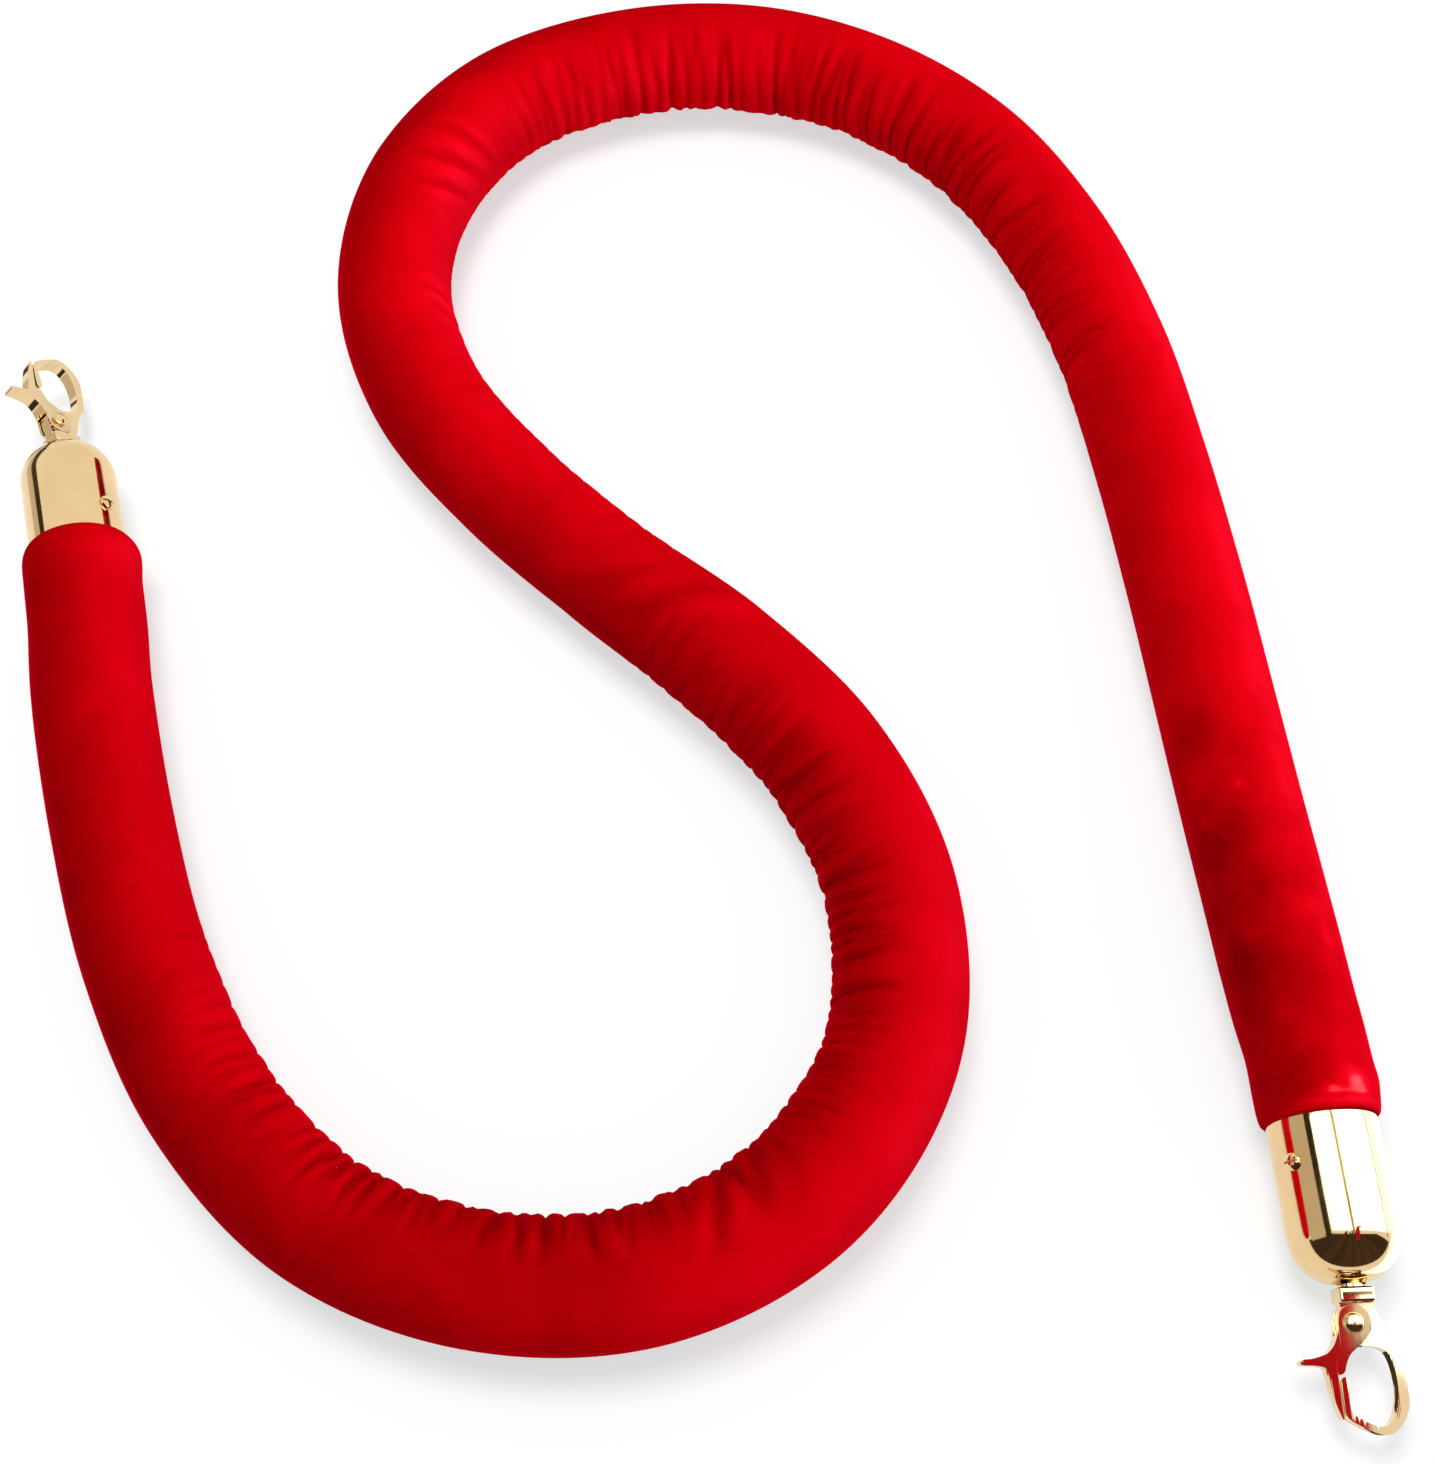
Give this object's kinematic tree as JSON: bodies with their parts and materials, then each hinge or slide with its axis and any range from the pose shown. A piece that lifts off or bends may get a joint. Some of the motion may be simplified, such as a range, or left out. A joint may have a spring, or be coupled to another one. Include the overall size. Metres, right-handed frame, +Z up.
{
  "type": "velvet barrier rope",
  "caption": "Soft plush barrier rope with domed metal end caps, each carrying a swivelling trigger snap hook with a sprung gate lever.",
  "frame": {"origin": "bottom centre of the bounding box, on the floor the rope lies on", "axes": "+Z up; +Y away from the viewer along the longer side of the laid S shape; +X to the viewer's right"},
  "size_m": [0.3966, 0.4756, 0.035],
  "materials": {
    "velvet": "short pile velvet",
    "wadding": "cotton wadding",
    "cord": "twisted cord",
    "plug": "plain",
    "gold": "polished",
    "steel": "spring wire"
  },
  "bodies": {
    "rope": {"velvet_sleeve": "velvet", "wadding_core": "wadding", "load_cord": "cord", "left_end_cap": "gold", "left_end_plug": "plug", "left_cap_screw": "gold", "left_swivel_washer": "gold", "right_end_cap": "gold", "right_end_plug": "plug", "right_cap_screw": "gold", "right_swivel_washer": "gold"},
    "left_swivel_hook": {"left_hook": "gold", "left_swivel_pin": "gold", "left_gate_rivet": "gold", "left_gate_spring": "steel"},
    "left_gate": {"left_gate_lever": "gold"},
    "right_swivel_hook": {"right_hook": "gold", "right_swivel_pin": "gold", "right_gate_rivet": "gold", "right_gate_spring": "steel"},
    "right_gate": {"right_gate_lever": "gold"}
  },
  "joints": [
    {"name": "left_swivel", "type": "hinge", "parent": "rope", "child": "left_swivel_hook", "pos_m": [-0.17621, 0.04086, 0.01584], "axis": [-0.2907, 0.9567, 0.0122], "continuous": true},
    {"name": "left_gate_pivot", "type": "hinge", "parent": "left_swivel_hook", "child": "left_gate", "pos_m": [-0.18396, 0.06305, 0.01715], "axis": [0.6999, 0.2039, 0.6845], "range_deg": [0, 32], "stiffness_Nm_per_rad": 0.04, "springref_deg": -20.05},
    {"name": "right_swivel", "type": "hinge", "parent": "rope", "child": "right_swivel_hook", "pos_m": [0.18346, -0.18784, 0.01584], "axis": [0.0348, -0.9956, -0.0872], "continuous": true},
    {"name": "right_gate_pivot", "type": "hinge", "parent": "right_swivel_hook", "child": "right_gate", "pos_m": [0.18287, -0.21128, 0.01379], "axis": [-0.003, 0.0871, -0.9962], "range_deg": [0, 32], "stiffness_Nm_per_rad": 0.04, "springref_deg": -20.05}
  ]
}
